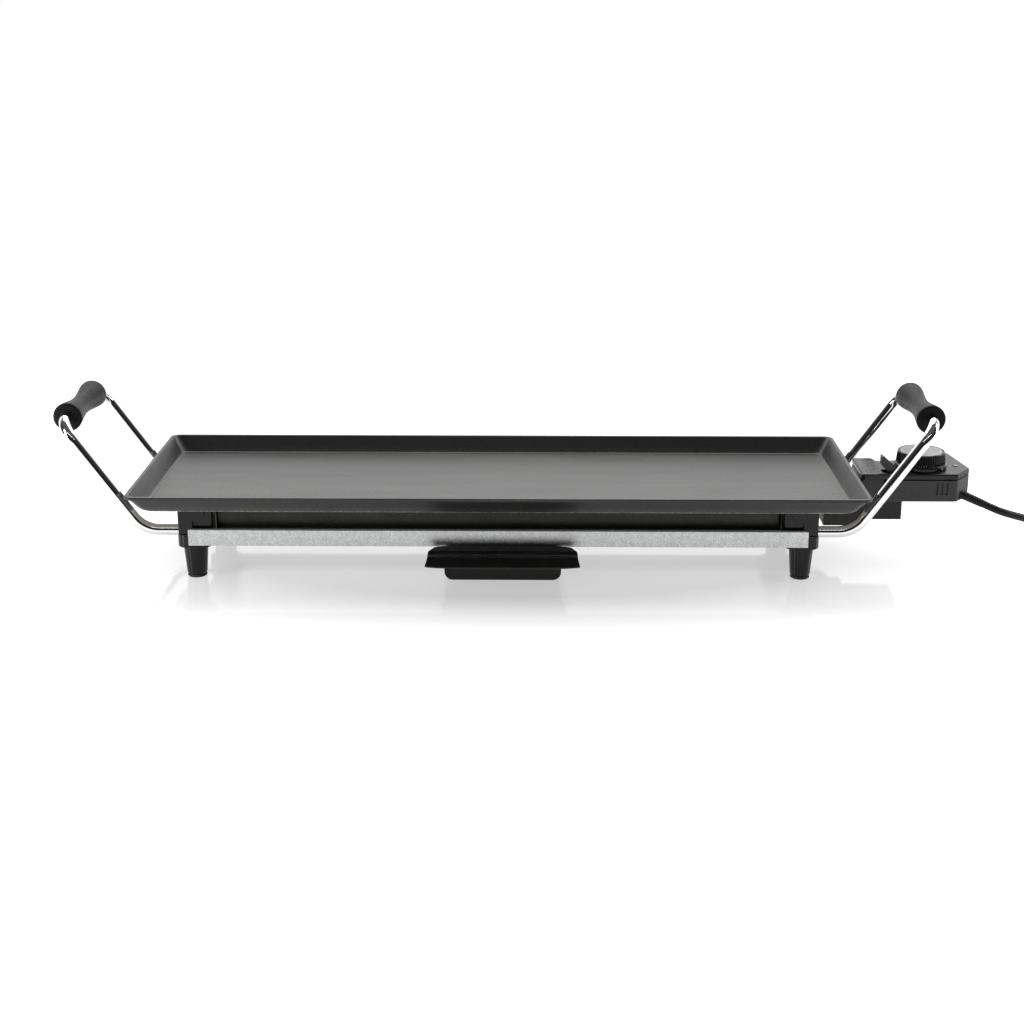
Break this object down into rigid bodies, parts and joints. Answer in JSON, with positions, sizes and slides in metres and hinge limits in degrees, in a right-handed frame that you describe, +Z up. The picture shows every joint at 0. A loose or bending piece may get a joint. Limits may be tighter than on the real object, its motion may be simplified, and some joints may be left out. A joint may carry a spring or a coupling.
{
  "type": "electric griddle",
  "caption": "Long tabletop electric griddle: coated cast pan on short black legs, chrome carrying handles, front grease drawer and a plug-in thermostat with dial and mains lead.",
  "frame": {"origin": "centre of the footprint of the griddle without its lead, on the table under the feet", "axes": "+X along the pan towards the thermostat, +Y towards the back, -Y the front where the grease drawer pulls out, +Z up"},
  "size_m": [1.12, 0.3783, 0.164],
  "materials": {
    "cast_coating": "cast aluminium with a matte dark grey non-stick coating",
    "galvanised": "bright galvanised sheet with a fine spangle",
    "dark_sheet": "heat-darkened olive-grey sheet steel",
    "element_steel": "grey heat-resistant steel",
    "zinc": "plated steel",
    "chrome": "polished chrome plate",
    "black_phenolic": "glossy black phenolic moulding",
    "grip_plastic": "satin black moulding",
    "control_plastic": "satin charcoal moulding",
    "control_top": "fine-grained charcoal moulding that looks grey in the light",
    "dial_film": "grey printed metal film with a plain scale",
    "rubber": "matte black rubber",
    "pilot_lens": "frosted clear lens, unlit",
    "cord_sheath": "smooth black flexible sheath"
  },
  "bodies": {
    "base": {"griddle_plate": "cast_coating", "drain_spout": "element_steel", "heating_element": "element_steel", "terminal_pin_front": "zinc", "terminal_pin_rear": "zinc", "element_clamp_left": "element_steel", "element_clamp_right": "element_steel", "probe_well": "element_steel", "element_cover": "dark_sheet", "base_tray": "galvanised", "leg_bracket_front_left": "black_phenolic", "leg_bracket_rear_left": "black_phenolic", "leg_bracket_front_right": "black_phenolic", "leg_bracket_rear_right": "black_phenolic", "foot_front_left": "black_phenolic", "foot_rear_left": "black_phenolic", "foot_front_right": "black_phenolic", "foot_rear_right": "black_phenolic", "foot_pad_front_left": "rubber", "foot_pad_rear_left": "rubber", "foot_pad_front_right": "rubber", "foot_pad_rear_right": "rubber", "leg_screw_front_left": "zinc", "leg_screw_rear_left": "zinc", "leg_screw_front_right": "zinc", "leg_screw_rear_right": "zinc", "handle_rod_left": "chrome", "handle_rod_right": "chrome", "handle_grip_left": "grip_plastic", "handle_grip_right": "grip_plastic", "drawer_rail_left": "galvanised", "drawer_rail_right": "galvanised", "socket_housing": "black_phenolic"},
    "drawer": {"grease_drawer": "control_plastic", "drawer_handle": "black_phenolic"},
    "controller": {"controller_top_shell": "control_top", "controller_bottom_shell": "control_plastic", "controller_screw_left": "zinc", "controller_screw_right": "zinc", "connector_block": "black_phenolic", "contact_sleeve_front": "zinc", "contact_sleeve_rear": "zinc", "temperature_probe": "zinc", "thermostat_unit": "zinc", "pilot_lens": "pilot_lens", "lever_pin": "zinc", "strain_relief": "cord_sheath", "cord": "cord_sheath", "cord_coil": "cord_sheath", "cord_tail": "cord_sheath", "plug_body": "black_phenolic", "plug_pin_left": "zinc", "plug_pin_right": "zinc"},
    "dial": {"dial": "control_plastic", "dial_disc": "dial_film", "dial_spindle": "zinc"},
    "lever": {"release_lever": "control_plastic"}
  },
  "joints": [
    {"name": "drawer_slide", "type": "slide", "parent": "base", "child": "drawer", "axis": [0, -1, 0], "range_m": [0, 0.12]},
    {"name": "controller_pull", "type": "slide", "parent": "base", "child": "controller", "axis": [1, 0, 0], "range_m": [0, 0.125]},
    {"name": "dial_turn", "type": "hinge", "parent": "controller", "child": "dial", "pos_m": [0.399, 0.005, 0.1], "axis": [0, 0, -1], "range_deg": [0, 270]},
    {"name": "lever_press", "type": "hinge", "parent": "controller", "child": "lever", "pos_m": [0.3725, -0.012, 0.0815], "axis": [0, 1, 0], "range_deg": [-12, 0], "stiffness_Nm_per_rad": 0.3}
  ]
}
